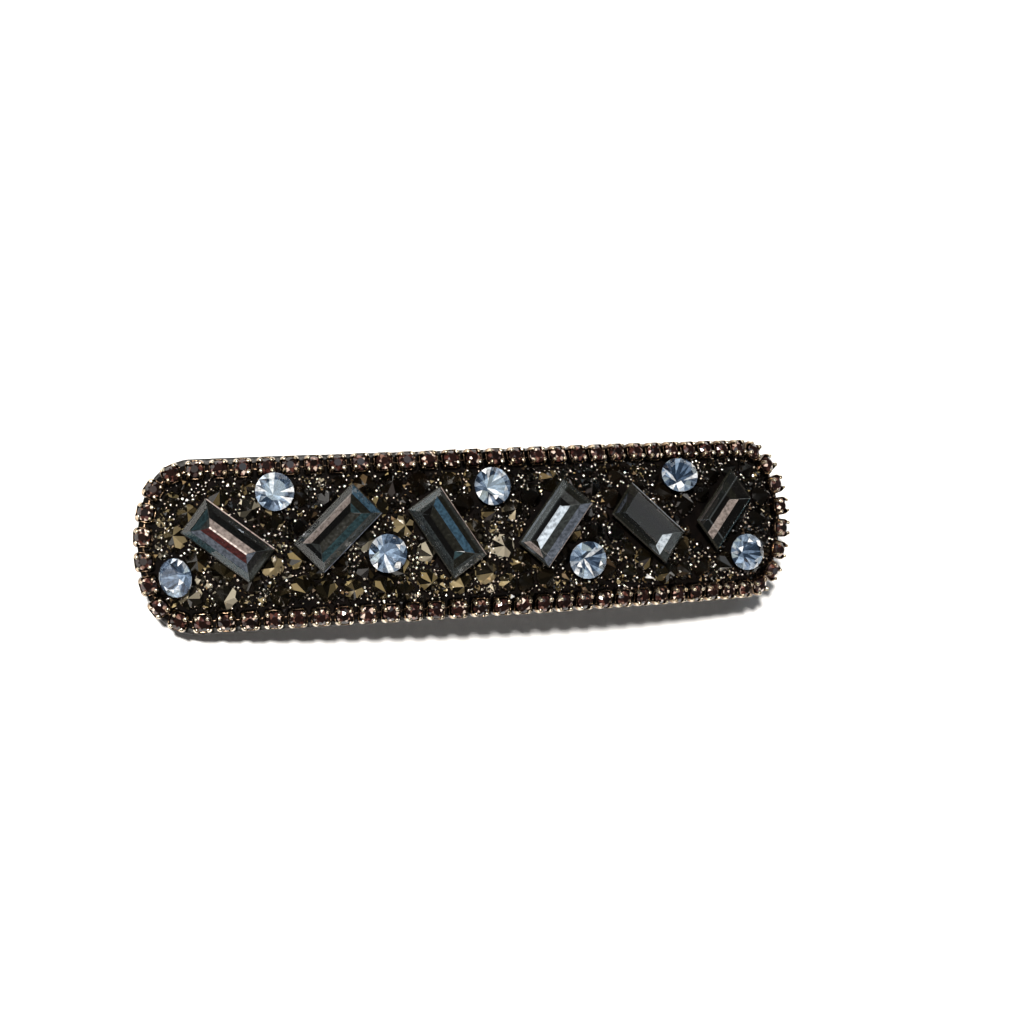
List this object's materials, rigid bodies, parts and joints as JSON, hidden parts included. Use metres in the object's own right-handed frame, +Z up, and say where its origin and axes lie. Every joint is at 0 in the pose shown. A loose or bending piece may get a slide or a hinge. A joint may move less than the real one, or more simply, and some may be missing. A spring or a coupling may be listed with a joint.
{
  "type": "rhinestone hair clip",
  "caption": "Arched bar hair clip set with faceted glass stones and a cup-chain border, on a spring barrette with a hinged clasp arm and squeeze catch.",
  "frame": {"origin": "centre of the bounding box's underside, on the surface that the closed clip stands on, face up", "axes": "+X along the clip from the hinge to the catch, -Y towards the front edge, +Z up through the stones"},
  "size_m": [0.087, 0.0208, 0.0186],
  "materials": {
    "antique_gold": "antique gold plate, polished",
    "smoked_topaz": "faceted, foiled",
    "bronze_mirror_glass": "faceted, bronze mirror coated",
    "smoky_crystal": "step cut, clear smoke grey",
    "ice_blue_crystal": "brilliant cut, foiled",
    "dark_resin": "dark cured glue",
    "backing_leather": "fine grain, black",
    "nickel_steel": "nickel plated",
    "spring_steel": "rolled spring strip"
  },
  "bodies": {
    "clip": {"baguette_1": "smoky_crystal", "baguette_2": "smoky_crystal", "baguette_3": "smoky_crystal", "baguette_4": "smoky_crystal", "baguette_5": "smoky_crystal", "baguette_6": "smoky_crystal", "base_plate": "nickel_steel", "catch_bridge": "nickel_steel", "catch_rivets": "nickel_steel", "chain_cups_catch_end": "antique_gold", "chain_cups_front": "antique_gold", "chain_cups_hinge_end": "antique_gold", "chain_cups_rear": "antique_gold", "chain_links_catch_end": "antique_gold", "chain_links_front": "antique_gold", "chain_links_hinge_end": "antique_gold", "chain_links_rear": "antique_gold", "chain_stones_catch_end": "smoked_topaz", "chain_stones_front": "smoked_topaz", "chain_stones_hinge_end": "smoked_topaz", "chain_stones_rear": "smoked_topaz", "fill_stones_1": "bronze_mirror_glass", "fill_stones_2": "bronze_mirror_glass", "fill_stones_3": "bronze_mirror_glass", "fill_stones_4": "bronze_mirror_glass", "fill_stones_5": "bronze_mirror_glass", "fill_stones_6": "bronze_mirror_glass", "glue_bed": "dark_resin", "hinge_pin": "nickel_steel", "leather_backing": "backing_leather", "round_stone_1": "ice_blue_crystal", "round_stone_2": "ice_blue_crystal", "round_stone_3": "ice_blue_crystal", "round_stone_4": "ice_blue_crystal", "round_stone_5": "ice_blue_crystal", "round_stone_6": "ice_blue_crystal", "round_stone_7": "ice_blue_crystal"},
    "clasp_arm": {"clasp_arm": "nickel_steel"},
    "tension_bar": {"tension_bar": "spring_steel"},
    "front_leg": {"pinch_leg_front": "nickel_steel"},
    "rear_leg": {"pinch_leg_rear": "nickel_steel"}
  },
  "joints": [
    {"name": "clasp_hinge", "type": "hinge", "parent": "clip", "child": "clasp_arm", "pos_m": [-0.03581, 0, 0.00172], "axis": [0, 1, 0], "range_deg": [0, 75]},
    {"name": "tension_bar_flex", "type": "hinge", "parent": "clip", "child": "tension_bar", "pos_m": [-0.03581, 0, 0.00172], "axis": [0, -1, 0], "range_deg": [0, 2], "stiffness_Nm_per_rad": 1},
    {"name": "front_leg_pinch", "type": "hinge", "parent": "clip", "child": "front_leg", "pos_m": [0.03577, -0.00315, 0.00765], "axis": [0.9974, 0, -0.0721], "range_deg": [0, 7], "stiffness_Nm_per_rad": 0.025},
    {"name": "rear_leg_pinch", "type": "hinge", "parent": "clip", "child": "rear_leg", "pos_m": [0.03577, 0.00315, 0.00765], "axis": [-0.9974, 0, 0.0721], "range_deg": [0, 7], "stiffness_Nm_per_rad": 0.025}
  ],
  "couplings": [
    {"joint": "rear_leg_pinch", "follows": "front_leg_pinch", "ratio": 1}
  ]
}
